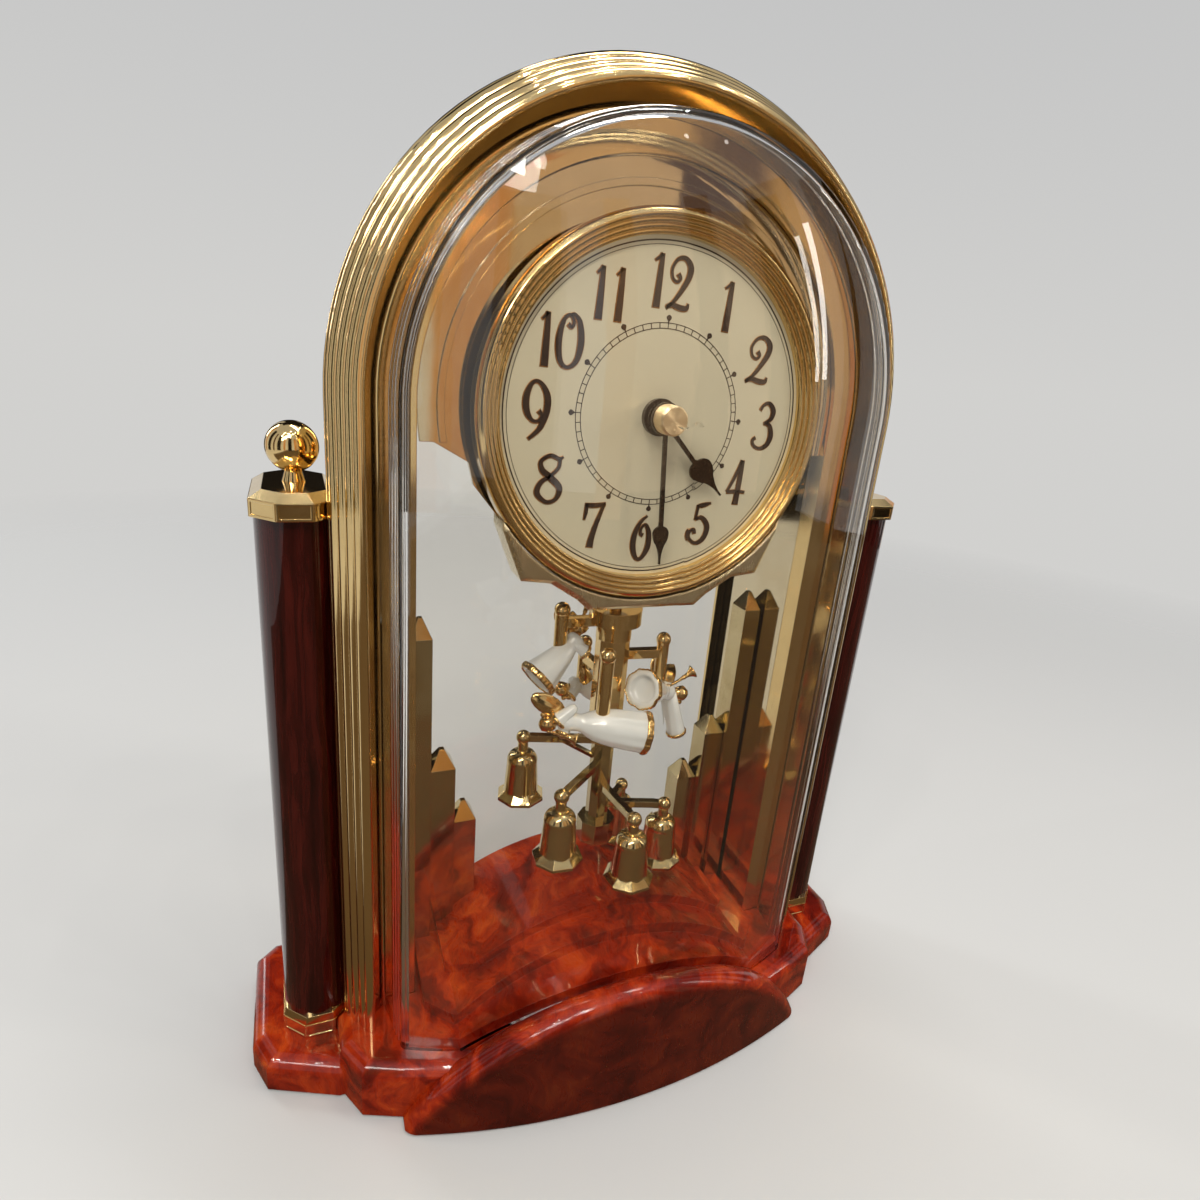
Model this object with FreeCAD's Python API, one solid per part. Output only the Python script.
import FreeCAD, Part
import math
import os

# Beehive shelf clock with a turning pendulum of flying figures and bells.
# Millimetres, +Z up, +X to the right seen from the front, +Y to the back.
# The origin is at the middle of the footprint, on the surface that the clock stands on.

# Clearances and overruns
overrun = 5.0
seat_gap = 0.2
running_gap = 0.05
moving_gap = 0.4
same_place = 0.05
half_turn = 180.0
full_turn = 360.0
hexagon_side_count = 6
octagon_side_count = 8

# Overall places
front_y = -45.0
back_y = 45.0
dial_y = -9.0
arch_z = 213.0
pendulum_y = 6.2

# Gold arch case. Its opening sets the size of what is inside and beside it.
inner_radius = 64.0
liner_wall = 1.3
case_wall = 2.5
shelf_y = -2.7
shelf_back_y = 4.0
rebate_width = 9.9
band_width = 3.1
band_inner_radius = inner_radius + rebate_width
band_outer_radius = band_inner_radius + band_width
band_front_y = -10.5
rib_steps = [1.4, 3.1, 4.8, 6.6, 8.3]
rib_radii = [band_outer_radius + step for step in rib_steps]
rib_front_ys = [-11.5, -9.2, -6.6, -4.0, -1.4]
rib_back_y = 1.2
rib_bulge = 0.55
barrel_step = 3.0
case_radius = band_outer_radius + barrel_step
back_ring_width = 1.5
back_ring_lap = 3.5
back_ring_inner_radius = inner_radius - back_ring_lap
case_back_y = back_y - back_ring_width

# Columns beside the arch
column_clearance = 8.0
column_x = rib_radii[-1] + column_clearance
column_y = 18.0
column_half_x = 10.2
column_half_y = 18.2
column_bore_radius = 2.6
foot_half_x = 10.6
foot_half_y = 18.8
foot_corner = 6.3
foot_band_z = 17.2
column_bottom_z = 20.0
column_top_drop = 30.9
column_top_z = arch_z - column_top_drop
capital_half_x = 10.7
capital_half_y = 19.9
capital_corner = 6.3
capital_band_height = 4.7
capital_bevel = 3.0
capital_bevel_height = 2.0
finial_neck_radius = 2.3
finial_foot_radius = 3.0
finial_ball_radius = 6.8
finial_rise = 15.9
finial_ball_z = column_top_z + finial_rise
tie_radius = 1.6
tie_head_radius = 3.6
tie_head_height = 3.0
tie_in_finial = 5.0

# Base moulding: two low wings, a taller middle block, hollow from below
base_wall = 3.0
base_bottom_z = 0.8
wing_top_z = 12.0
wing_reach = 20.4
wing_corner_inset = 4.3
wing_lap = 0.4
block_inset = 5.1
wing_half_x = column_x + wing_reach
wing_front_y = -15.0
wing_corner_x = wing_half_x - wing_corner_inset
wing_corner_y = -6.0
wing_corner_back_y = 4.0
wing_edge_radius = 4.6
back_corner = 6.0
block_top_z = 19.4
block_half_x = column_x - block_inset
wing_inner_x = block_half_x + wing_lap
block_side_front_y = -13.0
block_corner_inset = 5.7
block_corner_x = block_half_x - block_corner_inset
block_corner_y = -23.5
block_slant_inset = 17.2
block_slant_x = block_half_x - block_slant_inset
block_slant_y = -28.0
block_face_inset = 34.2
block_face_x = block_half_x - block_face_inset
block_face_y = -33.5
block_edge_radius = 4.4
boss_radius = 4.0
boss_hole_radius = 1.1
boss_inset = 22.2
boss_x = block_half_x - boss_inset
boss_front_y = -18.0
boss_back_y = 34.0
plate_thickness = 2.0
plate_recess = 0.5
foot_radius = 8.0
foot_inset = 15.7
foot_x = wing_half_x - foot_inset
foot_front_y = 2.0
foot_back_y = 33.0
screw_radius = 1.0
screw_head_radius = 2.2
screw_head_height = 0.6
screw_length = 9.0

# Bowed front panel with a rounded arched top
panel_reach = 7.0
panel_half_x = inner_radius + panel_reach
panel_side_y = -34.0
panel_top_z = 44.0
panel_arch_reach = 17.0
panel_arch_radius = inner_radius + panel_arch_reach
panel_thickness = 10.4
panel_edge_radius = 4.8

# Stage floor inside: an arched hill in three steps
hill_arch_reach = 18.0
hill_radius = inner_radius + hill_arch_reach
hill_top_zs = [42.7, 46.7, 50.0]
hill_shoulder_zs = [23.4, 27.4, 31.4]
hill_front_ys = [-34.2, -19.0, -9.0]
hill_reaches = [6.0, -2.0, -10.0]
hill_half_xs = [inner_radius + reach for reach in hill_reaches]
hill_corner = 8.0
hill_back_y = 33.0

# Clear front cover, bowed, with a domed top
cover_front_y = -34.2
cover_rim_y = -19.7
cover_rim_reach = 6.5
cover_rim_radius = inner_radius + cover_rim_reach
cover_bow_inset = 17.5
cover_bow_x = cover_rim_radius - cover_bow_inset
cover_bow_y = -26.6
cover_seat_radius = band_inner_radius - moving_gap
cover_wall = 1.6
cover_side_rise = 2.5
cover_turn_rise = 0.83
cover_turn_x = 1.25
cover_turn_y = 1.0
cover_arch_top_z = 39.0

# Movement behind the dial
dial_margin = 17.5
dial_radius = inner_radius - dial_margin
battery_radius = 7.1
battery_length = 48.5
battery_button_radius = 2.6
battery_button_length = 1.4
battery_drop = 19.0
battery_end_room = 4.75
movement_half_x = battery_length / 2 + battery_end_room
movement_height_share = 0.6022
movement_half_z = dial_radius * movement_height_share
movement_bottom_z = arch_z - movement_half_z
movement_top_z = arch_z + movement_half_z
movement_depth = 16.0
movement_wall = 1.5
movement_cover_thickness = 1.6
movement_post_inset = 4.0
movement_post_radius = 2.6
bushing_radius = 4.0
bushing_bore_radius = 2.6
dial_nut_radius = 5.0
dial_nut_height = 1.6
contact_thickness = 0.5
coil_radius = 3.2
coil_length = 16.5
coil_core_radius = 1.4
coil_drop = 3.0
coil_y = 10.0
board_thickness = 1.2
board_width = 20.0
board_height = 14.0

# Clear back panel and its access door, a little larger than the movement
back_panel_thickness = 1.5
door_margin = 2.0
door_half_x = movement_half_x + door_margin
door_bottom_z = movement_bottom_z - door_margin
door_top_z = movement_top_z + door_margin
door_knuckle_radius = 1.2
door_pin_radius = 0.6
door_knuckle_length = 9.0
door_leaf_length = 5.0
door_tab_width = 10.0
door_tab_reach = 4.0
hinge_y = back_y - door_knuckle_radius

# Dial, bezel, surround and bracket
dial_thickness = 1.5
dial_cup_margin = 0.5
dial_housing_radius = dial_radius + dial_cup_margin
dial_hole_radius = 4.3
bezel_lap = 1.5
bezel_width = 6.4
bezel_inner_radius = dial_radius - bezel_lap
bezel_outer_radius = bezel_inner_radius + bezel_width
bezel_front_y = -13.5
bezel_back_y = -6.0
bezel_rib_count = 4
surround_y = -1.0
surround_thickness = 2.0
surround_insets = [4.4, 13.6, 15.1, 24.0]
surround_drops = [10.0, 15.0, 21.0, 32.0]
surround_bead_inset = 6.0
surround_bead_radius = inner_radius - surround_bead_inset
surround_bead_half_width = 0.9
surround_bead_height = 0.8
bracket_front_y = -13.0
bracket_side_shares = [0.837, 0.730, 0.564, 0.409, 0.331]
bracket_drop_shares = [0.603, 0.875, 0.895, 0.992, 1.060]
bracket_bevel = 1.2
bracket_bottom_z = arch_z - bezel_outer_radius * bracket_drop_shares[-1]

# Organ pipes each side of the stage, each with its own place across and in depth
pipe_depth = 9.0
pipe_insets = [20.1, 11.9, 4.3]
pipe_xs = [inner_radius - inset for inset in pipe_insets]
pipe_front_ys = [20.5, 18.0, 16.0]
pipe_half_widths = [4.0, 4.1, 3.3]
pipe_point_depth = 6.0
pipe_tip_share = 0.2
right_pipe_top_zs = [79.5, 99.5, 150.3]
left_pipe_top_zs = [76.0, 99.0, 147.0]

# Motion works: minute arbor, setting wheel and hour wheel
gear_module = 0.4
cannon_teeth = 10
setting_wheel_teeth = 30
setting_pinion_teeth = 8
hour_wheel_teeth = 32
gear_width = 1.2
tooth_root_share = 0.34
tooth_tip_share = 0.17
addendum_share = 0.8
dedendum_share = 1.25
cannon_y = 6.0
hour_wheel_y = 3.0
hour_pipe_radius = 2.55
minute_arbor_radius = 1.5
setting_arbor_radius = 1.0
setting_hub_radius = 1.5
setting_angle = 35.0
knob_radius = 6.0
knob_height = 5.0
knob_flute_count = 16
knob_flute_radius = 0.6

# Hands, at the time shown
hour_hand_y = -12.2
hour_hand_share = 0.637
hour_hand_length = dial_radius * hour_hand_share
hour_hand_angle = 134.6
minute_hand_y = -14.2
minute_hand_share = 0.877
minute_hand_length = dial_radius * minute_hand_share
minute_hand_angle = 175.9
hand_thickness = 0.8
hand_hub_radius = 4.4
hand_neck_half_width = 0.6
hour_spade_half_width = 3.4
minute_spade_half_width = 2.4
hour_waist_share = 0.56
hour_spade_share = 0.66
minute_waist_share = 0.725
minute_spade_share = 0.79
spade_shares = [(0.8, 0.3), (0.88, 0.16), (0.55, 0.32), (0.25, 0.55)]
hand_tip_half_width = 0.25
cap_radius = 4.0
cap_chamfer = 0.5
cap_front_y = -19.2

# Pendulum drive under the movement
drive_half_x = 13.0
drive_front_y = -0.8
drive_back_y = 22.0
drive_drop = 3.3
drive_bottom_z = bracket_bottom_z - drive_drop
drive_height = 20.8
drive_top_z = drive_bottom_z + drive_height
drive_wall = 1.5
drive_gear_teeth = 20
motor_pinion_teeth = 10
drive_module = 0.5
drive_gear_rise = 4.8
drive_gear_z = drive_bottom_z + drive_gear_rise
drive_gear_width = 2.5
drive_gear_hub_radius = 4.0
motor_radius = 5.0
motor_height = 8.0
motor_shaft_radius = 1.0
bearing_radius = 4.0
bearing_collar_radius = 5.4
bearing_collar_height = 1.0
spindle_radius = 2.0

# Pendulum: collars, hub, shaft, weight, one below the other
collar_radius = 8.6
collar_drop = 6.1
collar_top_z = bracket_bottom_z - collar_drop
collar_height = 5.0
collar_bottom_z = collar_top_z - collar_height
second_collar_radius = 5.8
second_collar_height = 5.4
second_collar_bottom_z = collar_bottom_z - second_collar_height
hub_radius = 5.6
hub_length = 37.0
hub_bottom_z = second_collar_bottom_z - hub_length
shaft_radius = 3.9
shaft_length = 31.0
shaft_bottom_z = hub_bottom_z - shaft_length
weight_radius = 6.6
weight_height = 8.0
weight_bottom_z = shaft_bottom_z - weight_height

# Flying figures: each hangs from a post on an arm of the hub.
# Their points and drops are counted from the top of the pendulum's collar, on its axis.
arm_half_width = 1.5
post_radius = 2.2
post_cap_radius = 2.6
figure_names = ["left", "front", "right", "back"]
post_distances = [18.0, 17.7, 18.0, 18.0]
post_angles = [178.0, -118.0, -6.0, 97.0]
post_top_drops = [0.4, 9.9, 11.9, 19.4]
arm_drops = [4.4, 14.9, 16.4, 24.4]
figure_hems = [(-26.4, -3.0, -21.9), (6.2, -19.0, -35.9), (6.6, -11.7, -24.2), (9.5, 17.0, -36.4)]
figure_necks = [(-12.2, 1.2, -10.9), (-20.2, -12.4, -31.6), (19.8, -3.7, -29.9), (-6.6, 16.5, -34.9)]
figure_heads = [(-10.0, 4.5, -7.8), (-24.4, -10.9, -33.2), (24.9, -3.8, -31.2), (-10.6, 15.2, -35.2)]
hem_radius = 6.3
hem_ring_radius = 0.8
waist_radius = 2.8
waist_share = 0.8
gown_knee_shares = [0.4, 0.6, 0.4, 0.6]
gown_knee_radius_shares = [0.75, 0.8, 0.75, 0.8]
gown_flare_shares = [0.89, 0.97, 0.89, 0.97]
gown_hollow_share = 0.8
sleeve_starts = [(-13.4, -0.6, -11.6), (-17.4, -14.0, -27.0), (20.6, -3.9, -30.6), (-4.8, 14.6, -34.6)]
sleeve_ends = [(-9.6, -1.6, -14.6), (-22.2, -13.2, -31.4), (25.2, -4.2, -46.2), (-8.4, 13.4, -37.6)]
sleeve_start_radii = [1.5, 1.5, 2.3, 1.5]
sleeve_end_radii = [2.2, 2.6, 3.3, 2.2]
head_radius = 2.75
neck_radius = 1.2
wing_owners = ["left", "left", "front", "right", "right", "back", "back"]
wing_roots = [(-13.5, 3.2, -10.5), (-14.2, 1.8, -9.8), (-19.8, -11.3, -29.6), (19.8, -2.4, -28.6),
              (18.3, -2.0, -28.2), (-0.6, 14.4, -36.4), (1.4, 18.0, -35.4)]
wing_tips = [(-10.5, 11.0, -5.0), (-17.5, 8.0, -3.0), (-29.4, -8.6, -24.4), (25.5, 4.0, -24.0),
             (19.0, 5.5, -21.5), (-3.6, 14.2, -27.6), (3.0, 23.0, -28.0)]
wing_half_widths = [2.4, 2.4, 3.1, 2.2, 2.2, 2.5, 2.5]
wing_thickness = 0.9
wing_facing_shares = (-0.30, -0.90, 0.25)
horn_starts = [(-9.6, 5.6, -7.4), (-25.0, -12.6, -34.6), (19.4, -5.4, -27.4), (-11.4, 16.4, -33.6)]
horn_ends = [(-5.4, 10.6, -2.6), (-16.8, -17.0, -36.4), (28.0, -5.2, -22.8), (-14.0, 21.0, -26.6)]
horn_radius = 0.7
horn_mouth_radius = 2.2

# Bells on arms, stepping down round the shaft, counted from the collar's top as well
bell_distances = [27.2, 26.5, 23.5, 23.5, 23.5]
bell_angles = [164.0, -140.0, -83.0, -17.0, 43.0]
bell_knob_drops = [47.8, 56.0, 64.4, 72.8, 78.6]
bell_knob_radius = 2.5
bell_height = 22.6
bell_neck_radius = 1.8
bell_neck_length = 4.75
bell_shoulder_radius = 5.2
bell_waist_radius = 5.9
bell_rim_radius = 8.3
bell_rim_height = 3.2
bell_rim_hollow = 2.0
bell_bore_share = 0.7
bell_mouth_share = 0.75
bell_shoulder_drop = 4.4
bell_dome_share = 0.75
bell_dome_radius_share = 0.8
bell_arm_half_width = 1.2
bell_arm_half_height = 1.2
brace_drop = 8.0
brace_share = 0.55

UP = FreeCAD.Vector(0, 0, 1)
RIGHT = FreeCAD.Vector(1, 0, 0)
BACK = FreeCAD.Vector(0, 1, 0)


def at(x, y, z):
    return FreeCAD.Vector(x, y, z)


def in_plan(z):
    """Places an outline of (x, y) points at a height."""
    return lambda a, b: at(a, b, z)


def in_elevation(y):
    """Places an outline of (x, z) points at a depth."""
    return lambda a, b: at(a, y, b)


def in_section(a, b):
    """Places a section of (radius, y) points beside the arch's centre."""
    return at(a, b, arch_z)


def face(start, steps, place):
    """A flat face through points. A step is a point for a line, or two points for an arc."""
    edges = []
    here = start
    for step in list(steps) + [start]:
        if isinstance(step[0], tuple):
            middle, there = step
            edges.append(Part.Arc(place(*here), place(*middle), place(*there)).toShape())
        else:
            there = step
            if math.dist(here, there) > same_place:
                edges.append(Part.LineSegment(place(*here), place(*there)).toShape())
        here = there
    return Part.Face(Part.Wire(edges))


def box(x0, x1, y0, y1, z0, z1):
    return Part.makeBox(x1 - x0, y1 - y0, z1 - z0, at(x0, y0, z0))


def rod(radius, start, direction, length):
    return Part.makeCylinder(radius, length, start, direction)


def rod_between(radius, start, end):
    along = end.sub(start)
    return rod(radius, start, along, along.Length)


def ring(outer, inner, start, direction, length):
    margin = FreeCAD.Vector(direction).multiply(overrun)
    bore = rod(inner, start.sub(margin), direction, length + overrun + overrun)
    return rod(outer, start, direction, length).cut(bore)


def joined(shapes):
    solid = shapes[0]
    for shape in shapes[1:]:
        solid = solid.fuse(shape)
    return solid.removeSplitter()


def cut_all(shape, tools):
    for tool in tools:
        shape = shape.cut(tool)
    return shape


def mirrored(shape):
    return shape.mirror(at(0, 0, 0), RIGHT)


def save(name, shape):
    shape.exportStep("parts/" + name + ".step")


def polygon_points(count, radius, cx, cy, turn=0.0):
    """Corners of a regular polygon with a flat side across its front."""
    corners = []
    for i in range(count):
        angle = math.pi * (i + i + 1) / count + math.radians(turn)
        corners.append((cx + radius * math.cos(angle), cy + radius * math.sin(angle)))
    return corners


def prism(points, z0, z1):
    return face(points[0], points[1:], in_plan(z0)).extrude(UP * (z1 - z0))


def frustum(low_points, high_points, z0, z1):
    low = [at(x, y, z0) for x, y in low_points]
    high = [at(x, y, z1) for x, y in high_points]
    wires = [Part.makePolygon(row + [row[0]]) for row in (low, high)]
    return Part.makeLoft(wires, True, True)


def elongated_octagon(cx, cy, half_x, half_y, corner):
    return [(cx + half_x, cy - half_y + corner), (cx + half_x, cy + half_y - corner),
            (cx + half_x - corner, cy + half_y), (cx - half_x + corner, cy + half_y),
            (cx - half_x, cy + half_y - corner), (cx - half_x, cy - half_y + corner),
            (cx - half_x + corner, cy - half_y), (cx + half_x - corner, cy - half_y)]


def edges_at(shape, z):
    """The edges that lie wholly at one height."""
    return [edge for edge in shape.Edges
            if all(abs(vertex.Z - z) < same_place for vertex in edge.Vertexes)]


def wing_outline(inset):
    half = wing_half_x - inset
    back = back_y - inset
    front = wing_front_y + inset
    corner_x = wing_corner_x - inset
    corner_y = wing_corner_y + inset
    right = [(wing_inner_x, front), (corner_x, corner_y), (half, wing_corner_back_y),
             (half, back - back_corner), (half - back_corner, back)]
    return right + [(-x, y) for x, y in reversed(right)]


def block_outline(inset):
    half = block_half_x - inset
    back = back_y - inset
    waist = column_x - foot_half_x - seat_gap - inset
    foot_corner_sum = column_x - foot_half_x + column_y - foot_half_y + foot_corner
    line = foot_corner_sum - (seat_gap + inset) * math.sqrt(2)
    right = [(block_face_x - inset / 2, block_face_y + inset),
             (block_slant_x - inset / 2, block_slant_y + inset),
             (block_corner_x - inset, block_corner_y + inset), (half, block_side_front_y),
             (half, line - half), (waist, line - waist), (waist, back)]
    return right + [(-x, y) for x, y in reversed(right)]


def boss_places():
    return [(side * boss_x, y) for side in (-1, 1) for y in (boss_front_y, boss_back_y)]


def tie_places():
    return [(side * column_x, column_y) for side in (-1, 1)]


def plate_z():
    """Underside of the closing plate."""
    return base_bottom_z + plate_recess


def base_shell():
    wings = prism(wing_outline(0), base_bottom_z, wing_top_z)
    wings = wings.makeFillet(wing_edge_radius, edges_at(wings, wing_top_z))
    block = prism(block_outline(0), base_bottom_z, block_top_z)
    block = block.makeFillet(block_edge_radius, edges_at(block, block_top_z))
    hollow_wings = prism(wing_outline(base_wall), base_bottom_z - overrun, wing_top_z - base_wall)
    hollow_block = prism(block_outline(base_wall), base_bottom_z - overrun, block_top_z - base_wall)
    shell = joined([wings, block]).cut(hollow_wings).cut(hollow_block)
    top = block_top_z - base_wall / 2
    bottom = plate_z() + plate_thickness
    for x, y in boss_places():
        shell = shell.fuse(rod(boss_radius, at(x, y, bottom), UP, top - bottom))
    for x, y in boss_places():
        shell = shell.cut(rod(boss_hole_radius, at(x, y, bottom - overrun), UP, screw_length + overrun))
    for x, y in tie_places():
        shell = shell.cut(rod(tie_radius + seat_gap, at(x, y, 0), UP, wing_top_z + overrun))
    return shell.removeSplitter()


def base_bottom_plate():
    gap = base_wall + seat_gap
    low = plate_z()
    high = low + plate_thickness
    plate = prism(wing_outline(gap), low, high).fuse(prism(block_outline(gap), low, high))
    holes = [rod(screw_radius + seat_gap, at(x, y, 0), UP, high + overrun) for x, y in boss_places()]
    return cut_all(plate, holes).removeSplitter()


def base_feet():
    places = [(side * foot_x, y) for side in (-1, 1) for y in (foot_front_y, foot_back_y)]
    return Part.Compound([rod(foot_radius, at(x, y, 0), UP, plate_z()) for x, y in places])


def base_screws():
    screws = []
    for x, y in boss_places():
        head = rod(screw_head_radius, at(x, y, plate_z() - screw_head_height), UP, screw_head_height)
        screws.append(head.fuse(rod(screw_radius, at(x, y, plate_z()), UP, screw_length - plate_thickness)))
    return Part.Compound(screws)


def bowed_front(offset):
    """Plan outline of the bowed panel: the front arc moved back by an offset."""
    return ((-panel_half_x, panel_side_y + offset), (0, front_y + offset),
            (panel_half_x, panel_side_y + offset))


def arch_below(top_z, radius, y0, y1):
    return rod(radius, at(0, y0, top_z - radius), BACK, y1 - y0)


def bow_panel():
    left, middle, right = bowed_front(0)
    back_left, back_middle, back_right = bowed_front(panel_thickness)
    plan = face(left, [(middle, right), back_right, (back_middle, back_left)], in_plan(base_bottom_z))
    slab = plan.extrude(UP * panel_top_z)
    arched = slab.common(arch_below(panel_top_z, panel_arch_radius, front_y - overrun, 0))
    crests = [edge for edge in arched.Edges if edge.BoundBox.ZMax > block_top_z + base_wall
              and edge.BoundBox.XLength > panel_thickness]
    rounded = arched.makeFillet(panel_edge_radius, crests)
    plinth = box(-block_face_x, block_face_x, panel_side_y, block_face_y, base_bottom_z, block_top_z)
    solid = rounded.fuse(plinth)
    keep_out = prism(block_outline(0), base_bottom_z - overrun, block_top_z)
    return solid.cut(keep_out).removeSplitter()


def hill_outline(level):
    """Plan of one step of the stage: rectangle with cut corners."""
    half = hill_half_xs[level]
    front = hill_front_ys[level]
    right = [(half - hill_corner, front), (half, front + hill_corner), (half, hill_back_y)]
    return right + [(-x, y) for x, y in reversed(right)]


def hill_step(level, plan):
    low = block_top_z
    top = hill_top_zs[level]
    arch = arch_below(top, hill_radius, front_y, hill_back_y)
    shoulder = box(-wing_half_x, wing_half_x, front_y, hill_back_y, low, hill_shoulder_zs[level])
    return plan.common(arch.fuse(shoulder))


def stage_floor():
    low = block_top_z
    height = panel_top_z + overrun
    under_cover = cover_solid(cover_wall + seat_gap, low, low + height)
    seam = shelf_y - seat_gap
    reach = box(-inner_radius + seat_gap, inner_radius - seat_gap, seam, hill_back_y, low, low + height)
    front_reach = box(-wing_half_x, wing_half_x, front_y, seam, low, low + height)
    inside = under_cover.common(front_reach).fuse(reach)
    steps = [hill_step(0, inside)]
    for level, half in enumerate(hill_half_xs):
        if half < inner_radius:
            plan = prism(hill_outline(level), low, low + height)
            steps.append(hill_step(level, plan.common(inside)))
    ledge = cover_solid(0, low, low + height).common(box(-block_face_x, block_face_x, front_y, cover_rim_y, low,
                                                         low + height))
    ledge = ledge.common(arch_below(cover_arch_top_z - seat_gap, hill_radius, front_y, 0))
    steps.append(ledge)
    return joined(steps)


def column(side):
    x = side * column_x
    straight = column_half_y - column_half_x
    near = column_y - straight
    far = column_y + straight
    outline = face((x + column_half_x, near),
                   [(x + column_half_x, far), ((x, far + column_half_x), (x - column_half_x, far)),
                    (x - column_half_x, near), ((x, near - column_half_x), (x + column_half_x, near))],
                   in_plan(column_bottom_z))
    solid = outline.extrude(UP * (column_top_z - column_bottom_z))
    return solid.cut(rod(column_bore_radius, at(x, column_y, 0), UP, column_top_z + overrun))


def column_foot(side):
    x = side * column_x
    base = elongated_octagon(x, column_y, foot_half_x, foot_half_y, foot_corner)
    inset = foot_half_x - column_half_x
    top = elongated_octagon(x, column_y, column_half_x, column_half_y + inset, foot_corner)
    foot = prism(base, wing_top_z, foot_band_z).fuse(frustum(base, top, foot_band_z, column_bottom_z))
    return foot.cut(rod(column_bore_radius, at(x, column_y, 0), UP, column_top_z)).removeSplitter()


def capital_top():
    return column_top_z + capital_band_height + capital_bevel_height


def column_capital(side):
    x = side * column_x
    band = elongated_octagon(x, column_y, capital_half_x, capital_half_y, capital_corner)
    inner = elongated_octagon(x, column_y, capital_half_x - capital_bevel, capital_half_y - capital_bevel,
                              capital_corner - capital_bevel / 2)
    band_top = column_top_z + capital_band_height
    capital = prism(band, column_top_z, band_top).fuse(frustum(band, inner, band_top, capital_top()))
    bore = rod(tie_radius + seat_gap, at(x, column_y, 0), UP, capital_top() + overrun)
    return capital.cut(bore).removeSplitter()


def finial(side):
    x = side * column_x
    low = capital_top()
    neck = rod(finial_neck_radius, at(x, column_y, low), UP, finial_ball_z - low)
    foot = Part.makeCone(finial_foot_radius, finial_neck_radius, finial_neck_radius, at(x, column_y, low), UP)
    ball = Part.makeSphere(finial_ball_radius, at(x, column_y, finial_ball_z))
    bore = rod(tie_radius, at(x, column_y, low - overrun), UP, tie_in_finial + overrun)
    return joined([neck, foot, ball]).cut(bore)


def tie_rods():
    rods = []
    head_top = wing_top_z - base_wall
    for x, y in tie_places():
        head = prism(polygon_points(hexagon_side_count, tie_head_radius, x, y), head_top - tie_head_height,
                     head_top)
        top = capital_top() + tie_in_finial
        rods.append(head.fuse(rod(tie_radius, at(x, y, head_top), UP, top - head_top)))
    return Part.Compound(rods)


def arch_piece(start, steps, bottom_z):
    """A (radius, y) section carried over the arch and straight down both legs."""
    section = face(start, steps, in_section)
    over = section.revolve(at(0, 0, arch_z), BACK, -half_turn)
    leg = section.extrude(UP * (bottom_z - arch_z))
    return joined([over, leg, mirrored(leg)])


def beads(points):
    """Arcs that bulge outwards between neighbouring rib edges."""
    steps = []
    for (a, b), (c, d) in zip(points, points[1:]):
        along = math.dist((a, b), (c, d))
        normal = ((b - d) / along, (c - a) / along)
        middle = ((a + c) / 2 + normal[0] * rib_bulge, (b + d) / 2 + normal[1] * rib_bulge)
        steps.append((middle, (c, d)))
    return steps


def arch_frame():
    ribs = list(zip(rib_radii, rib_front_ys))
    steps = [(inner_radius, shelf_back_y), (case_radius - case_wall, shelf_back_y),
             (case_radius - case_wall, case_back_y), (case_radius, case_back_y), (case_radius, rib_back_y),
             (rib_radii[-1], rib_back_y)]
    outward = [(rib_radii[-1], rib_back_y)] + list(reversed(ribs)) + [(band_outer_radius, band_front_y)]
    steps += beads(outward)
    steps += [(band_inner_radius, shelf_y)]
    return arch_piece((inner_radius, shelf_y), steps, block_top_z)


def inner_liner():
    outer = inner_radius + liner_wall
    steps = [(inner_radius, case_back_y), (outer, case_back_y), (outer, shelf_back_y)]
    return arch_piece((inner_radius, shelf_back_y), steps, block_top_z)


def back_ring():
    steps = [(case_radius, case_back_y), (case_radius, back_y), (back_ring_inner_radius, back_y)]
    return arch_piece((back_ring_inner_radius, case_back_y), steps, block_top_z)


def cover_solid(inset, low, high):
    """The space under the cover's skin, moved in by an inset. The top is a dome of the same bow."""
    rim = cover_rim_radius - inset
    seat = cover_seat_radius - inset
    front = cover_front_y + inset
    back = shelf_y - seat_gap
    bow = ((cover_bow_x - inset / 2, cover_bow_y + inset), (0, front))
    turn = ((rim - inset / 4, cover_rim_y + inset / 2 + cover_turn_rise),
            (rim - cover_turn_x, cover_rim_y + inset - cover_turn_y))
    right = [(seat, back), (rim, cover_rim_y + cover_side_rise + inset), turn, bow]
    half = face((0, back), right, in_section)
    leg = half.extrude(UP * (low - arch_z))
    solid = leg.fuse(mirrored(leg))
    if high > arch_z:
        solid = solid.fuse(half.revolve(at(0, 0, arch_z), BACK, -half_turn))
    return solid.removeSplitter().common(box(-wing_half_x, wing_half_x, front_y, back_y, low, high))


def front_cover():
    top = arch_z + case_radius
    skin = cover_solid(0, block_top_z, top)
    inside = cover_solid(cover_wall, block_top_z - overrun, top)
    deeper = inside.copy()
    deeper.translate(BACK * cover_wall)
    skin = skin.cut(inside).cut(deeper)
    return skin.cut(arch_below(cover_arch_top_z, hill_radius, front_y, cover_rim_y))


def back_panel_outline(gap, y):
    reach = inner_radius - gap
    return face((reach, block_top_z + gap), [(reach, arch_z), ((0, arch_z + reach), (-reach, arch_z)),
                                             (-reach, block_top_z + gap)], in_elevation(y))


def back_panel_y():
    return case_back_y - back_panel_thickness


def hinge_places():
    """Heights of the two access door hinges."""
    quarter = (door_top_z - door_bottom_z) / 4
    return [door_bottom_z + quarter, door_top_z - quarter]


def knuckle(low, high):
    return rod(door_knuckle_radius, at(-door_half_x, hinge_y, low), UP, high - low)


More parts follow.
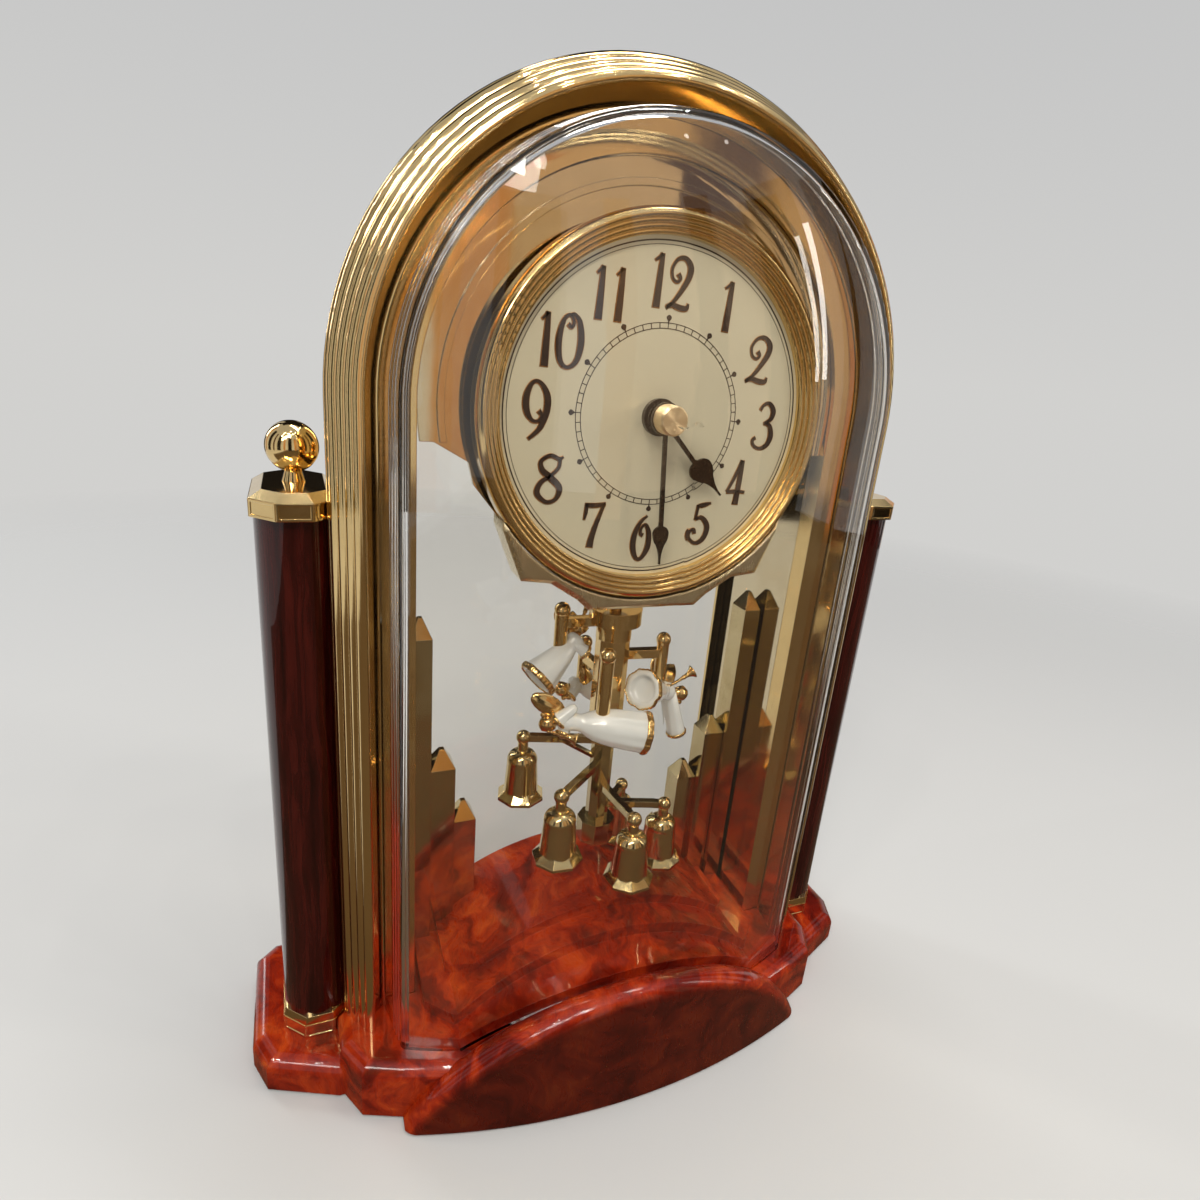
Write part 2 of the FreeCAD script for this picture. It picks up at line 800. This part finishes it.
def back_panel():
    panel = back_panel_outline(seat_gap, back_panel_y()).extrude(BACK * back_panel_thickness)
    window = box(-door_half_x, door_half_x, 0, back_y, door_bottom_z, door_top_z)
    panel = panel.cut(window)
    for z in hinge_places():
        clear = rod(door_knuckle_radius + moving_gap,
                    at(-door_half_x, hinge_y, z - door_knuckle_length / 2), UP, door_knuckle_length)
        panel = panel.cut(clear)
        for low in (z - door_knuckle_length / 2 - door_knuckle_length, z + door_knuckle_length / 2):
            leaf = box(-door_half_x - door_knuckle_radius, -door_half_x, back_panel_y(), hinge_y, low,
                       low + door_knuckle_length)
            panel = panel.fuse(leaf).fuse(knuckle(low, low + door_knuckle_length))
        reach = door_knuckle_length * 3 / 2 + overrun
        panel = panel.cut(rod(door_pin_radius, at(-door_half_x, hinge_y, z - reach), UP, reach + reach))
    return panel.removeSplitter()


def access_door():
    door = box(-door_half_x + door_knuckle_radius + moving_gap, door_half_x - moving_gap,
               back_panel_y(), case_back_y, door_bottom_z + moving_gap, door_top_z - moving_gap)
    for z in hinge_places():
        low = z - door_knuckle_length / 2 + moving_gap
        high = z + door_knuckle_length / 2 - moving_gap
        leaf = box(-door_half_x, -door_half_x + door_leaf_length, case_back_y - seat_gap, back_y, low, high)
        door = door.fuse(leaf).fuse(knuckle(low, high))
        pin_hole = rod(door_pin_radius + running_gap, at(-door_half_x, hinge_y, low - overrun), UP,
                       high - low + overrun + overrun)
        door = door.cut(pin_hole)
    middle = (door_bottom_z + door_top_z) / 2
    tab = box(door_half_x - door_tab_reach, door_half_x - moving_gap, case_back_y, back_y,
              middle - door_tab_width / 2, middle + door_tab_width / 2)
    return door.fuse(tab).removeSplitter()


def door_pins():
    reach = door_knuckle_length * 3 / 2
    return Part.Compound([rod(door_pin_radius, at(-door_half_x, hinge_y, z - reach), UP, reach + reach)
                          for z in hinge_places()])


def dial_ring(outer, inner, y0, y1):
    return ring(outer, inner, at(0, y0, arch_z), BACK, y1 - y0)


def dial_plate():
    return dial_ring(dial_radius, dial_hole_radius, dial_y, dial_y + dial_thickness)


def dial_housing():
    front = dial_y + dial_thickness
    drum = dial_ring(dial_housing_radius, dial_housing_radius - base_wall, front, surround_y)
    web = dial_ring(dial_housing_radius, dial_hole_radius, front, front + base_wall / 2)
    return drum.fuse(web).removeSplitter()


def dial_bezel():
    lip_y = dial_y - running_gap
    inner_y = dial_y - base_wall / 2
    crest_radius = bezel_outer_radius - base_wall / 2
    skirt = dial_housing_radius + seat_gap
    count = bezel_rib_count
    rise = [(bezel_inner_radius + (crest_radius - bezel_inner_radius) * i / count,
             inner_y + (bezel_front_y - inner_y) * i / count) for i in range(count + 1)]
    steps = [(skirt, lip_y), (skirt, bezel_back_y), (bezel_outer_radius, bezel_back_y),
             (bezel_outer_radius, bezel_front_y + base_wall)]
    steps += beads([steps[-1]] + list(reversed(rise)))
    section = face((bezel_inner_radius, lip_y), steps, in_section)
    return section.revolve(at(0, 0, arch_z), BACK, full_turn)


def dial_surround():
    reach = inner_radius - seat_gap
    right = [(inner_radius - inset, arch_z - drop) for inset, drop in zip(surround_insets, surround_drops)]
    left = [(-x, z) for x, z in reversed(right)]
    tip_z = right[0][1]
    corner = (math.sqrt(reach ** 2 - (arch_z - tip_z) ** 2), tip_z)
    over = ((0, arch_z + reach), corner)
    outline = face((-corner[0], corner[1]), [over] + right + left, in_elevation(surround_y))
    plate = outline.extrude(BACK * surround_thickness)
    bead = dial_ring(surround_bead_radius + surround_bead_half_width,
                     surround_bead_radius - surround_bead_half_width,
                     surround_y - surround_bead_height, surround_y + running_gap)
    bead = bead.common(box(-inner_radius, inner_radius, front_y, back_y, tip_z, arch_z + inner_radius))
    hole = rod(bushing_radius + seat_gap, at(0, front_y, arch_z), BACK, back_y - front_y)
    return plate.fuse(bead).cut(hole).removeSplitter()


def bracket_outline(inset, y):
    """Scalloped edge under the dial, from one tip to the other."""
    right = [(bezel_outer_radius * side - inset, arch_z - bezel_outer_radius * drop + inset)
             for side, drop in zip(bracket_side_shares, bracket_drop_shares)]
    right[0] = (right[0][0], right[0][1] - inset)
    left = [(-x, z) for x, z in reversed(right)]
    top = arch_z - dial_housing_radius / 2
    return face((right[0][0], top), right + left + [(-right[0][0], top)], in_elevation(y))


def dial_bracket():
    back = surround_y
    front = bracket_outline(bracket_bevel, bracket_front_y)
    full = bracket_outline(0, bracket_front_y + bracket_bevel)
    bevel = Part.makeLoft([front.OuterWire, full.OuterWire], True, True)
    slab = full.extrude(BACK * (back - bracket_front_y - bracket_bevel))
    solid = bevel.fuse(slab)
    clear = rod(bezel_outer_radius + seat_gap, at(0, front_y, arch_z), BACK, back_y - front_y)
    return solid.cut(clear).removeSplitter()


def pipes(side, tops):
    bars = []
    floor = stage_floor()
    for x, front, half, top in zip(pipe_xs, pipe_front_ys, pipe_half_widths, tops):
        shoulder = top - pipe_point_depth
        cx = side * x
        cy = front + pipe_depth / 2
        base = [(cx + half, cy - pipe_depth / 2), (cx + half, cy + pipe_depth / 2),
                (cx - half, cy + pipe_depth / 2), (cx - half, cy - pipe_depth / 2)]
        tip = [(cx + (px - cx) * pipe_tip_share, cy + (py - cy) * pipe_tip_share) for px, py in base]
        bar = prism(base, block_top_z, shoulder).fuse(frustum(base, tip, shoulder, top))
        bars.append(bar.cut(floor).removeSplitter())
    return Part.Compound(bars)


def movement_y():
    """Front of the movement, behind the surround plate."""
    return surround_y + surround_thickness


def movement_back_y():
    return movement_y() + movement_depth


def post_places():
    x = movement_half_x - movement_post_inset
    low = movement_bottom_z + battery_drop + movement_wall + movement_post_inset
    return [(side * x, z) for side in (-1, 1) for z in (low, movement_top_z - movement_post_inset)]


def setting_place():
    """Axis of the setting wheel, one gear distance from the dial's centre."""
    distance = gear_module * (cannon_teeth + setting_wheel_teeth) / 2
    turn = math.radians(setting_angle)
    return (distance * math.cos(turn), arch_z + distance * math.sin(turn))


def movement_case():
    front = movement_y()
    back = movement_back_y()
    case = box(-movement_half_x, movement_half_x, front, back, movement_bottom_z, movement_top_z)
    hollow = box(-movement_half_x + movement_wall, movement_half_x - movement_wall, front + movement_wall,
                 back + overrun, movement_bottom_z + movement_wall, movement_top_z - movement_wall)
    case = case.cut(hollow)
    for x, z in post_places():
        case = case.fuse(rod(movement_post_radius, at(x, front, z), BACK, movement_depth))
    for x, z in post_places():
        case = case.cut(rod(screw_radius, at(x, front + movement_wall, z), BACK, movement_depth))
    bushing = rod(bushing_radius, at(0, dial_y - dial_nut_height, arch_z), BACK,
                  front + movement_wall - dial_y + dial_nut_height)
    bore = rod(bushing_bore_radius, at(0, front_y, arch_z), BACK, front + base_wall - front_y)
    case = case.fuse(bushing).cut(bore)
    x, z = setting_place()
    pivot = rod(setting_arbor_radius + running_gap, at(x, front_y, z), BACK, front + movement_wall - front_y)
    shelf_z = movement_bottom_z + battery_drop
    shelf = box(-movement_half_x + movement_wall, movement_half_x - movement_wall, front, back - movement_wall,
                shelf_z, shelf_z + movement_wall)
    return case.cut(pivot).fuse(shelf).removeSplitter()


def battery_z():
    return movement_bottom_z + movement_wall + battery_radius + moving_gap


def battery_y():
    return movement_y() + movement_wall + battery_radius + moving_gap


def movement_cover():
    back = movement_back_y()
    cover = box(-movement_half_x, movement_half_x, back, back + movement_cover_thickness,
                movement_bottom_z, movement_top_z)
    bay = box(-battery_length / 2, battery_length / 2, back - overrun, back + overrun,
              movement_bottom_z + movement_wall * 2, movement_bottom_z + battery_drop - movement_wall)
    x, z = setting_place()
    holes = [rod(screw_radius + running_gap, at(px, back - overrun, pz), BACK, overrun * 3)
             for px, pz in post_places()]
    holes.append(rod(setting_arbor_radius + running_gap, at(x, back - overrun, z), BACK, overrun * 3))
    return cut_all(cover.cut(bay), holes)


def movement_screws():
    screws = []
    start = movement_back_y() + movement_cover_thickness
    for x, z in post_places():
        head = rod(screw_head_radius, at(x, start, z), BACK, screw_head_height)
        screws.append(head.fuse(rod(screw_radius, at(x, start - screw_length, z), BACK, screw_length)))
    return Part.Compound(screws)


def dial_nut():
    """Round ring nut on the movement's bushing."""
    start = at(0, dial_y - dial_nut_height, arch_z)
    ring = rod(dial_nut_radius, start, BACK, dial_nut_height)
    return ring.cut(rod(bushing_radius, start.sub(BACK * overrun), BACK, overrun * 3))


def battery():
    start = at(-battery_length / 2, battery_y(), battery_z())
    cell = rod(battery_radius, start, RIGHT, battery_length)
    button = rod(battery_button_radius, start.add(RIGHT * battery_length), RIGHT, battery_button_length)
    return cell.fuse(button)


def battery_contacts():
    low = battery_z() - battery_radius / 2
    high = battery_z() + battery_radius / 2
    near = battery_y() - battery_radius / 2
    far = battery_y() + battery_radius / 2
    inside = movement_half_x - movement_wall
    left_reach = -battery_length / 2
    right_reach = battery_length / 2 + battery_button_length
    left_plate = box(-inside, -inside + contact_thickness, near, far, low, high)
    left_spring = Part.makeCone(battery_radius / 2, battery_button_radius / 2,
                                left_reach + inside - contact_thickness,
                                at(-inside + contact_thickness, battery_y(), battery_z()), RIGHT)
    right_plate = box(right_reach, right_reach + contact_thickness, near, far, low, high)
    right_block = rod(battery_button_radius, at(right_reach + contact_thickness, battery_y(), battery_z()),
                      RIGHT, inside - right_reach - contact_thickness)
    return Part.Compound([left_plate.fuse(left_spring), right_plate.fuse(right_block)])


def coil_z():
    return movement_top_z - movement_wall - coil_drop - coil_radius


def between_posts():
    """Half of the room between the movement's screw posts."""
    return movement_half_x - movement_post_inset - movement_post_radius - seat_gap


def drive_coil():
    start = at(-between_posts() + base_wall, coil_y, coil_z())
    winding = rod(coil_radius, start, RIGHT, coil_length)
    core = rod(coil_core_radius, start.sub(RIGHT * base_wall), RIGHT, coil_length + base_wall * 2)
    legs = []
    for x in (start.x - base_wall, start.x + coil_length + base_wall / 2):
        legs.append(box(x, x + base_wall / 2, movement_y() + movement_wall, coil_y + coil_core_radius,
                        coil_z() - coil_core_radius, coil_z() + coil_core_radius))
    return joined([winding, core] + legs)


def circuit_board():
    reach = between_posts()
    front = movement_y() + movement_wall
    return box(reach - board_width, reach, front, front + board_thickness,
               movement_top_z - movement_wall * 2 - board_height, movement_top_z - movement_wall * 2)


def gear(teeth, module, phase, width, place):
    """Spur gear with straight-flanked teeth about the origin of its plane."""
    pitch = module * teeth / 2
    root = pitch - dedendum_share * module
    tip = pitch + addendum_share * module
    step = 2 * math.pi / teeth
    root_half = step * tooth_root_share / 2
    tip_half = step * tooth_tip_share / 2
    points = []
    for i in range(teeth):
        middle = phase + i * step
        for radius, turn in ((root, -root_half), (tip, -tip_half), (tip, tip_half), (root, root_half)):
            points.append(place(radius * math.cos(middle + turn), radius * math.sin(middle + turn)))
    return Part.Face(Part.makePolygon(points + [points[0]])).extrude(width)


def dial_gear(teeth, phase, x, z, y):
    return gear(teeth, gear_module, phase, BACK * gear_width, lambda a, b: at(x + a, y, z + b))


def minute_arbor():
    turn = math.radians(setting_angle)
    back = movement_back_y() - movement_wall
    shaft = rod(minute_arbor_radius, at(0, minute_hand_y - base_wall / 2, arch_z), BACK,
                back - minute_hand_y + base_wall / 2)
    pinion = dial_gear(cannon_teeth, turn, 0, arch_z, cannon_y)
    return shaft.fuse(pinion).removeSplitter()


def hour_wheel():
    """Pipe with the hour wheel at its back end."""
    turn = math.radians(setting_angle)
    step = math.pi / hour_wheel_teeth
    wheel = dial_gear(hour_wheel_teeth, turn + step, 0, arch_z, hour_wheel_y)
    front = hour_hand_y
    pipe = rod(hour_pipe_radius, at(0, front, arch_z), BACK, hour_wheel_y + gear_width - front)
    bore = rod(minute_arbor_radius + running_gap, at(0, front_y, arch_z), BACK, back_y - front_y)
    return wheel.fuse(pipe).cut(bore).removeSplitter()


def setting_wheel():
    x, z = setting_place()
    turn = math.radians(setting_angle)
    wheel = dial_gear(setting_wheel_teeth, turn + math.pi + math.pi / setting_wheel_teeth, x, z, cannon_y)
    pinion = dial_gear(setting_pinion_teeth, turn + math.pi, x, z, hour_wheel_y)
    front = movement_y() + running_gap
    back = movement_back_y() + movement_cover_thickness + knob_height + moving_gap
    shaft = rod(setting_arbor_radius, at(x, front, z), BACK, back - front)
    behind_pinion = hour_wheel_y + gear_width
    hub = rod(setting_hub_radius, at(x, behind_pinion, z), BACK, cannon_y - behind_pinion)
    return joined([wheel, pinion, shaft, hub])


def set_knob():
    x, z = setting_place()
    start = movement_back_y() + movement_cover_thickness + moving_gap
    knob = rod(knob_radius, at(x, start, z), BACK, knob_height)
    for i in range(knob_flute_count):
        turn = 2 * math.pi * i / knob_flute_count
        flute = rod(knob_flute_radius, at(x + knob_radius * math.cos(turn), start - overrun,
                                          z + knob_radius * math.sin(turn)), BACK, knob_height + overrun * 2)
        knob = knob.cut(flute)
    return knob.cut(rod(setting_arbor_radius, at(x, start - overrun, z), BACK, knob_height + overrun * 2))


def flipped(point):
    return (-point[0], point[1])


def hand(length, wide, waist, spade, angle, y):
    """Spade hand drawn at twelve o'clock, then turned about the dial's centre."""
    neck = hand_neck_half_width
    tip = hand_tip_half_width
    drop = length - spade
    shoulder = (wide * spade_shares[0][0], waist + (spade - waist) * spade_shares[0][1])
    cheek, chin, flank = [(wide * across, spade + drop * down) for across, down in spade_shares[1:]]
    right = [(neck, 0), (neck, waist), (shoulder, (wide, spade)), (cheek, chin), (flank, (tip, length))]
    left = [(-tip, length), (flipped(flank), flipped(chin)), (flipped(cheek), (-wide, spade)),
            (flipped(shoulder), (-neck, waist)), (-neck, 0)]
    blade = face(right[0], right[1:] + left, in_elevation(y)).extrude(BACK * hand_thickness)
    blade.translate(UP * arch_z)
    hub = rod(hand_hub_radius, at(0, y, arch_z), BACK, hand_thickness)
    solid = blade.fuse(hub)
    return solid.rotate(at(0, 0, arch_z), BACK, angle)


def hour_hand():
    hole = rod(hour_pipe_radius, at(0, front_y, arch_z), BACK, back_y - front_y)
    return hand(hour_hand_length, hour_spade_half_width, hour_hand_length * hour_waist_share,
                hour_hand_length * hour_spade_share, hour_hand_angle, hour_hand_y).cut(hole)


def minute_hand():
    hole = rod(minute_arbor_radius, at(0, front_y, arch_z), BACK, back_y - front_y)
    return hand(minute_hand_length, minute_spade_half_width, minute_hand_length * minute_waist_share,
                minute_hand_length * minute_spade_share, minute_hand_angle, minute_hand_y).cut(hole)


def hand_cap():
    """Flat-faced cap with a small chamfer, pressed on the end of the minute arbor."""
    barrel = rod(cap_radius, at(0, cap_front_y + cap_chamfer, arch_z), BACK,
                 minute_hand_y - cap_front_y - cap_chamfer)
    nose = Part.makeCone(cap_radius - cap_chamfer, cap_radius, cap_chamfer, at(0, cap_front_y, arch_z), BACK)
    arbor = rod(minute_arbor_radius, at(0, minute_hand_y - base_wall / 2, arch_z), BACK, overrun)
    return joined([barrel, nose]).cut(arbor)


def motor_place():
    distance = drive_module * (drive_gear_teeth + motor_pinion_teeth) / 2
    return (distance, pendulum_y)


def drive_housing():
    """Box under the movement that holds the pendulum's gear and bearing."""
    far = motor_place()[0] + motor_radius + drive_wall + moving_gap
    outer = box(-drive_half_x, far, drive_front_y, drive_back_y, drive_bottom_z, drive_top_z)
    inner = box(-drive_half_x + drive_wall, far - drive_wall, drive_front_y + drive_wall,
                drive_back_y - drive_wall, drive_bottom_z + drive_wall, drive_top_z - drive_wall)
    bore = rod(bearing_radius, at(0, pendulum_y, drive_bottom_z - overrun), UP, overrun * 2)
    return outer.cut(inner).cut(bore)


def pendulum_bearing():
    collar = rod(bearing_collar_radius, at(0, pendulum_y, drive_bottom_z + drive_wall), UP,
                 bearing_collar_height)
    sleeve = rod(bearing_radius, at(0, pendulum_y, drive_bottom_z), UP, drive_wall)
    bore = rod(spindle_radius + running_gap, at(0, pendulum_y, drive_bottom_z - overrun), UP, overrun * 3)
    return collar.fuse(sleeve).cut(bore).removeSplitter()


def drive_motor():
    x, y = motor_place()
    top = drive_top_z - drive_wall
    can = rod(motor_radius, at(x, y, top - motor_height), UP, motor_height)
    socket = rod(motor_shaft_radius + running_gap, at(x, y, top - motor_height - overrun), UP,
                 overrun + motor_height / 2)
    return can.cut(socket)


def motor_pinion():
    x, y = motor_place()
    teeth = gear(motor_pinion_teeth, drive_module, math.pi, UP * drive_gear_width,
                 lambda a, b: at(x + a, y + b, drive_gear_z))
    top = drive_top_z - drive_wall - motor_height / 2 - moving_gap
    shaft = rod(motor_shaft_radius, at(x, y, drive_gear_z), UP, top - drive_gear_z)
    return teeth.fuse(shaft).removeSplitter()


def pendulum_gear():
    teeth = gear(drive_gear_teeth, drive_module, math.pi / drive_gear_teeth, UP * drive_gear_width,
                 lambda a, b: at(a, pendulum_y + b, drive_gear_z))
    hub = rod(drive_gear_hub_radius, at(0, pendulum_y, drive_gear_z - base_wall / 2), UP,
              drive_gear_width + base_wall / 2)
    return teeth.fuse(hub).cut(rod(spindle_radius, at(0, pendulum_y, 0), UP, arch_z)).removeSplitter()


def pendulum_spindle():
    top = drive_gear_z + drive_gear_width + base_wall / 2
    pin = rod(spindle_radius, at(0, pendulum_y, hub_bottom_z), UP, top - hub_bottom_z)
    collar = rod(collar_radius, at(0, pendulum_y, collar_bottom_z), UP, collar_top_z - collar_bottom_z)
    second = rod(second_collar_radius, at(0, pendulum_y, second_collar_bottom_z), UP,
                 collar_bottom_z - second_collar_bottom_z)
    return joined([pin, collar, second])


def octagon_bar(radius, low, high):
    return prism(polygon_points(octagon_side_count, radius, 0, pendulum_y), low, high)


def pendulum_hub():
    bar = octagon_bar(hub_radius, hub_bottom_z, second_collar_bottom_z)
    return bar.cut(rod(spindle_radius, at(0, pendulum_y, hub_bottom_z - overrun), UP, arch_z))


def pendulum_shaft():
    """Eight-sided lower shaft with the wide weight at its foot."""
    shaft = octagon_bar(shaft_radius, shaft_bottom_z, hub_bottom_z)
    return shaft.fuse(octagon_bar(weight_radius, weight_bottom_z, shaft_bottom_z))


def hung(point):
    """A point of the pendulum, counted from the top of its collar on its axis."""
    return at(point[0], pendulum_y + point[1], collar_top_z + point[2])


def around_axis(radius, angle, z):
    turn = math.radians(angle)
    return at(radius * math.cos(turn), pendulum_y + radius * math.sin(turn), z)


def bar_to(start, end, half_width, half_height):
    """Flat bar between two points, on edge or flat, along the line that joins them."""
    along = end.sub(start)
    bar = Part.makeBox(along.Length, half_width * 2, half_height * 2, at(0, -half_width, -half_height))
    flat = FreeCAD.Vector(along.x, along.y, 0)
    heading = FreeCAD.Rotation(RIGHT, flat)
    tilt = FreeCAD.Rotation(flat, along)
    bar.Placement = FreeCAD.Placement(start, tilt.multiply(heading))
    return bar


def gown_middle_z(index):
    """Height of the gown's axis under the post that carries it."""
    hem = hung(figure_hems[index])
    along = hung(figure_necks[index]).sub(hem)
    post = around_axis(post_distances[index], post_angles[index], 0)
    flat = FreeCAD.Vector(along.x, along.y, 0)
    share = post.sub(at(hem.x, hem.y, 0)).dot(flat) / flat.dot(flat)
    return hem.z + along.z * share


def angel_arm(index):
    """One arm with its upright post down to the gown, and a round cap on the post."""
    cavity = octagon_bar(hub_radius, 0, second_collar_bottom_z)
    cavity = cavity.fuse(rod(second_collar_radius, at(0, pendulum_y, second_collar_bottom_z), UP,
                             collar_bottom_z - second_collar_bottom_z))
    cavity = cavity.fuse(rod(collar_radius, at(0, pendulum_y, collar_bottom_z), UP,
                             collar_top_z - collar_bottom_z))
    radius = post_distances[index]
    angle = post_angles[index]
    top = collar_top_z - post_top_drops[index]
    z = collar_top_z - arm_drops[index]
    bottom = gown_middle_z(index)
    bar = bar_to(around_axis(0, angle, z), around_axis(radius, angle, z), arm_half_width, arm_half_width)
    post = rod(post_radius, around_axis(radius, angle, bottom), UP, top - bottom)
    cap = Part.makeSphere(post_cap_radius, around_axis(radius, angle, top))
    return joined([bar, post, cap]).cut(cavity).cut(gown(index))


def angel_arms():
    return Part.Compound([angel_arm(index) for index in range(len(figure_names))])


def taper(start, end, start_radius, end_radius):
    along = end.sub(start)
    return Part.makeCone(start_radius, end_radius, along.Length, start, along)


def gown(index):
    """Bell-shaped gown from hem to neck with a sleeve, open at the hem by a shallow hollow."""
    hem = hung(figure_hems[index])
    along = hung(figure_necks[index]).sub(hem)
    length = along.Length
    knee = length * gown_knee_shares[index]
    waist = length * waist_share
    knee_radius = hem_radius * gown_knee_radius_shares[index]
    profile = face((0, 0), [(hem_radius, 0),
                            ((hem_radius * gown_flare_shares[index], knee / 2), (knee_radius, knee)),
                            (waist_radius, waist), (waist_radius, length), (0, length)],
                   lambda a, b: at(a, 0, b))
    solid = profile.revolve(at(0, 0, 0), UP, full_turn)
    hollow = Part.makeCone(hem_radius * gown_hollow_share, waist_radius, waist_radius)
    solid = solid.cut(hollow)
    solid.Placement = FreeCAD.Placement(hem, FreeCAD.Rotation(UP, along))
    sleeve = taper(hung(sleeve_starts[index]), hung(sleeve_ends[index]),
                   sleeve_start_radii[index], sleeve_end_radii[index])
    return joined([solid, sleeve])


def wing(root, tip, half):
    """Rounded leaf from the shoulders to its tip."""
    out = tip.sub(root)
    length = out.Length
    leaf = face((0, 0), [((length / 2, half), (length, 0)), ((length / 2, -half), (0, 0))],
                lambda a, b: at(a, 0, b))
    solid = leaf.extrude(BACK * wing_thickness)
    solid.translate(BACK * (-wing_thickness / 2))
    facing = at(*wing_facing_shares)
    solid.Placement = FreeCAD.Placement(root, FreeCAD.Rotation(out, facing, out.cross(facing), "XYZ"))
    return solid


def gilding(index):
    """Gold parts of a figure: hem ring, head, wings and horn."""
    hem = hung(figure_hems[index])
    neck = hung(figure_necks[index])
    head = hung(figure_heads[index])
    along = neck.sub(hem).normalize()
    torus = Part.makeTorus(hem_radius, hem_ring_radius, hem, along)
    ball = Part.makeSphere(head_radius, head)
    throat = rod_between(neck_radius, neck.sub(along * neck_radius), head)
    horn = taper(hung(horn_starts[index]), hung(horn_ends[index]), horn_radius, horn_mouth_radius)
    wings = [wing(hung(root), hung(tip), half) for owner, root, tip, half
             in zip(wing_owners, wing_roots, wing_tips, wing_half_widths) if owner == figure_names[index]]
    gold = joined([ball, throat, horn] + wings).cut(gown(index)).cut(angel_arm(index))
    return Part.Compound([torus.cut(gown(index)), gold])


def bell_place(index):
    return around_axis(bell_distances[index], bell_angles[index], collar_top_z - bell_knob_drops[index])


def bell(index):
    """Ball knob, neck, domed shoulder and flared body on an eight-sided rim."""
    knob = bell_place(index)
    low = knob.z - bell_height
    rim_top = low + bell_rim_height
    neck_bottom = knob.z - bell_neck_length
    shoulder = neck_bottom - bell_shoulder_drop
    dome = (bell_shoulder_radius * bell_dome_radius_share, shoulder + bell_shoulder_drop * bell_dome_share)
    profile = face((0, low + bell_rim_hollow),
                   [(bell_rim_radius * bell_mouth_share, low + bell_rim_hollow), (bell_waist_radius, rim_top),
                    (bell_shoulder_radius, shoulder), (dome, (bell_neck_radius, neck_bottom)),
                    (bell_neck_radius, knob.z), (0, knob.z)],
                   lambda a, b: at(knob.x + a, knob.y, b))
    body = profile.revolve(knob, UP, full_turn)
    wide = polygon_points(octagon_side_count, bell_rim_radius, knob.x, knob.y, bell_angles[index])
    narrow = polygon_points(octagon_side_count, bell_waist_radius, knob.x, knob.y, bell_angles[index])
    step = low + bell_rim_height / 3
    rim = prism(wide, low, step).fuse(frustum(wide, narrow, step, rim_top))
    hollow = rod(bell_rim_radius * bell_bore_share, at(knob.x, knob.y, low - overrun), UP,
                 overrun + bell_rim_hollow)
    rim = rim.cut(hollow)
    ball = Part.makeSphere(bell_knob_radius, knob)
    return joined([body, rim, ball])


def bell_arms():
    """Arms from the shaft to the knobs, the top one with a slanting brace."""
    arms = []
    core = pendulum_shaft().fuse(octagon_bar(hub_radius, hub_bottom_z, arch_z))
    for index in range(len(bell_angles)):
        knob = bell_place(index)
        radius = bell_distances[index]
        angle = bell_angles[index]
        start = around_axis(0, angle, knob.z)
        arm = bar_to(start, knob, bell_arm_half_width, bell_arm_half_height)
        if index == 0:
            foot = around_axis(0, angle, knob.z - brace_drop)
            reach = around_axis(radius * brace_share, angle, knob.z)
            arm = arm.fuse(bar_to(foot, reach, bell_arm_half_width, bell_arm_half_height / 2))
        arms.append(arm.cut(core).cut(bell(index)).removeSplitter())
    return Part.Compound(arms)


def bells():
    return Part.Compound([bell(index) for index in range(len(bell_angles))])


def main():
    os.makedirs("parts", exist_ok=True)
    save("base_shell", base_shell())
    save("base_bottom_plate", base_bottom_plate())
    save("base_feet", base_feet())
    save("base_screws", base_screws())
    save("bow_panel", bow_panel())
    save("stage_floor", stage_floor())
    for name, side in (("left", -1), ("right", 1)):
        save("column_" + name, column(side))
        save("column_foot_" + name, column_foot(side))
        save("column_capital_" + name, column_capital(side))
        save("finial_" + name, finial(side))
    save("tie_rods", tie_rods())
    save("arch_frame", arch_frame())
    save("inner_liner", inner_liner())
    save("back_ring", back_ring())
    save("front_cover", front_cover())
    save("back_panel", back_panel())
    save("access_door", access_door())
    save("door_pins", door_pins())
    save("dial_plate", dial_plate())
    save("dial_housing", dial_housing())
    save("dial_bezel", dial_bezel())
    save("dial_surround", dial_surround())
    save("dial_bracket", dial_bracket())
    save("dial_nut", dial_nut())
    save("pipes_left", pipes(-1, left_pipe_top_zs))
    save("pipes_right", pipes(1, right_pipe_top_zs))
    save("movement_case", movement_case())
    save("movement_cover", movement_cover())
    save("movement_screws", movement_screws())
    save("battery", battery())
    save("battery_contacts", battery_contacts())
    save("drive_coil", drive_coil())
    save("circuit_board", circuit_board())
    save("minute_arbor", minute_arbor())
    save("hour_wheel", hour_wheel())
    save("setting_wheel", setting_wheel())
    save("set_knob", set_knob())
    save("hour_hand", hour_hand())
    save("minute_hand", minute_hand())
    save("hand_cap", hand_cap())
    save("drive_housing", drive_housing())
    save("pendulum_bearing", pendulum_bearing())
    save("drive_motor", drive_motor())
    save("motor_pinion", motor_pinion())
    save("pendulum_gear", pendulum_gear())
    save("pendulum_spindle", pendulum_spindle())
    save("pendulum_hub", pendulum_hub())
    save("pendulum_shaft", pendulum_shaft())
    save("angel_arms", angel_arms())
    for index, name in enumerate(figure_names):
        save("gown_" + name, gown(index))
    save("angel_gilding", Part.Compound([gilding(index) for index in range(len(figure_names))]))
    save("bell_arms", bell_arms())
    save("bells", bells())


main()
